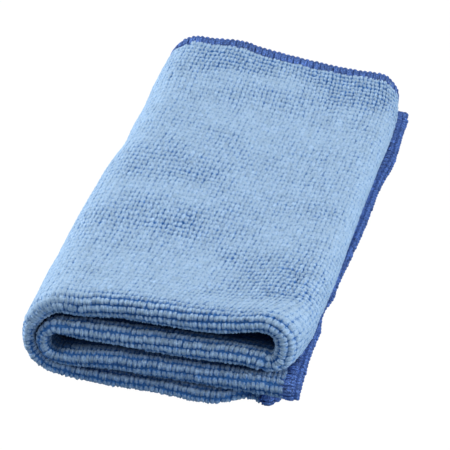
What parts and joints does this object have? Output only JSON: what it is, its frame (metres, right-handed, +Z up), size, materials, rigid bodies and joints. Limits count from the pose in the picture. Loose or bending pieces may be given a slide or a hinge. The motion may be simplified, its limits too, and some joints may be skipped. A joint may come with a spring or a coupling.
{
  "type": "folded microfibre cloth",
  "caption": "Square microfibre cleaning cloth with a looped face and a dark overlocked edge, folded into a thick oblong bundle that lies flat.",
  "frame": {"origin": "middle of the bundle's footprint, on the surface it rests on", "axes": "+X along the front fold towards the hems, +Y away from the front fold along the length, +Z up"},
  "size_m": [0.1112, 0.2044, 0.0408],
  "materials": {
    "terry_cloth": "light blue looped microfibre pile",
    "edge_thread": "dark blue overlock thread"
  },
  "bodies": {
    "root": {"cloth": "terry_cloth", "edging": "edge_thread"}
  },
  "joints": []
}
